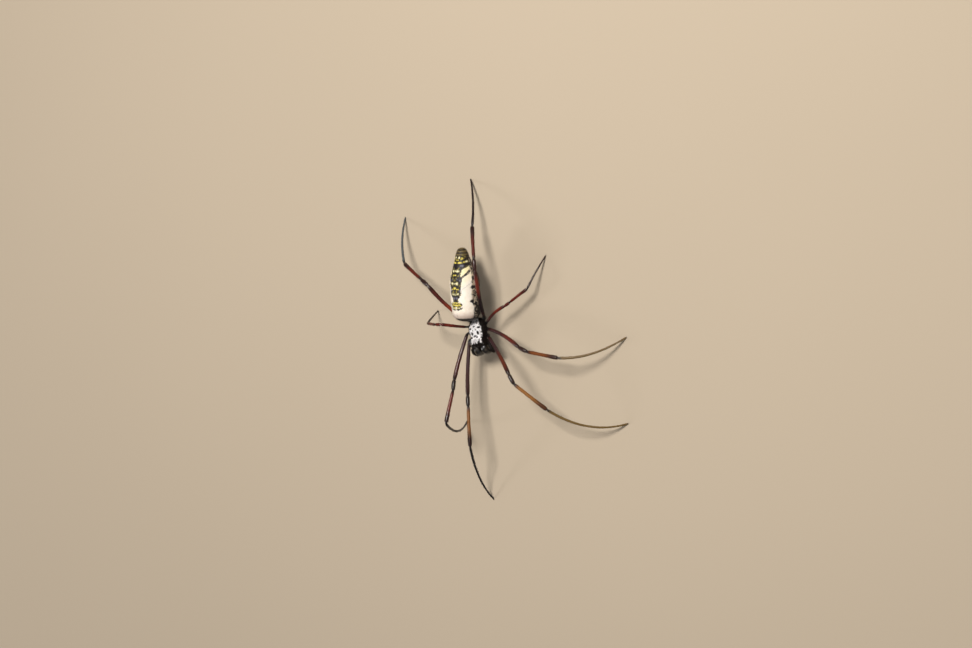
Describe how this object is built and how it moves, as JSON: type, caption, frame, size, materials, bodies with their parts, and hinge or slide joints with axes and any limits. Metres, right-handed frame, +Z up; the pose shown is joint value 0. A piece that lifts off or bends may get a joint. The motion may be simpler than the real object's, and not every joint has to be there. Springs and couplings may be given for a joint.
{
  "type": "golden silk orb weaver spider",
  "caption": "Life-size still model of a female golden silk orb weaver, long-legged, standing on the floor with its legs spread wide.",
  "frame": {"origin": "on the floor, under the middle of the bounding box", "axes": "+Z up from the floor; the head points to -Y and the tail to +Y; the spider's left is +X"},
  "size_m": [0.076, 0.1062, 0.0216],
  "materials": {
    "carapace": "black shell under silver-white down with bare dark spots",
    "jaw": "glossy black chitin",
    "eye": "wet black",
    "abdomen": "satin skin, cream bands beside a dark, yellow-spotted back",
    "spinneret": "dark brown satin skin",
    "coxa": "black chitin with short hair",
    "femur": "dark red-brown chitin, satin",
    "patella": "black-brown chitin, satin",
    "tibia": "red-orange chitin, dark at the far end",
    "metatarsus": "dark brown chitin with short hair"
  },
  "bodies": {
    "root": {"cephalothorax": "carapace", "abdomen": "abdomen", "spinnerets": "spinneret", "pedicel": "coxa", "chelicera_left": "jaw", "chelicera_right": "jaw", "fang_left": "jaw", "fang_right": "jaw", "palp_left": "coxa", "palp_right": "coxa", "eye_l1": "eye", "eye_l2": "eye", "eye_l3": "eye", "eye_l4": "eye", "eye_r1": "eye", "eye_r2": "eye", "eye_r3": "eye", "eye_r4": "eye", "leg_l1_coxa": "coxa", "leg_l1_femur": "femur", "leg_l1_patella": "patella", "leg_l1_tibia": "tibia", "leg_l1_metatarsus": "metatarsus", "leg_l2_coxa": "coxa", "leg_l2_femur": "femur", "leg_l2_patella": "patella", "leg_l2_tibia": "tibia", "leg_l2_metatarsus": "metatarsus", "leg_l3_coxa": "coxa", "leg_l3_femur": "femur", "leg_l3_patella": "patella", "leg_l3_tibia": "tibia", "leg_l3_metatarsus": "metatarsus", "leg_l4_coxa": "coxa", "leg_l4_femur": "femur", "leg_l4_patella": "patella", "leg_l4_tibia": "tibia", "leg_l4_metatarsus": "metatarsus", "leg_r1_coxa": "coxa", "leg_r1_femur": "femur", "leg_r1_patella": "patella", "leg_r1_tibia": "tibia", "leg_r1_metatarsus": "metatarsus", "leg_r2_coxa": "coxa", "leg_r2_femur": "femur", "leg_r2_patella": "patella", "leg_r2_tibia": "tibia", "leg_r2_metatarsus": "metatarsus", "leg_r3_coxa": "coxa", "leg_r3_femur": "femur", "leg_r3_patella": "patella", "leg_r3_tibia": "tibia", "leg_r3_metatarsus": "metatarsus", "leg_r4_coxa": "coxa", "leg_r4_femur": "femur", "leg_r4_patella": "patella", "leg_r4_tibia": "tibia", "leg_r4_metatarsus": "metatarsus"}
  },
  "joints": []
}
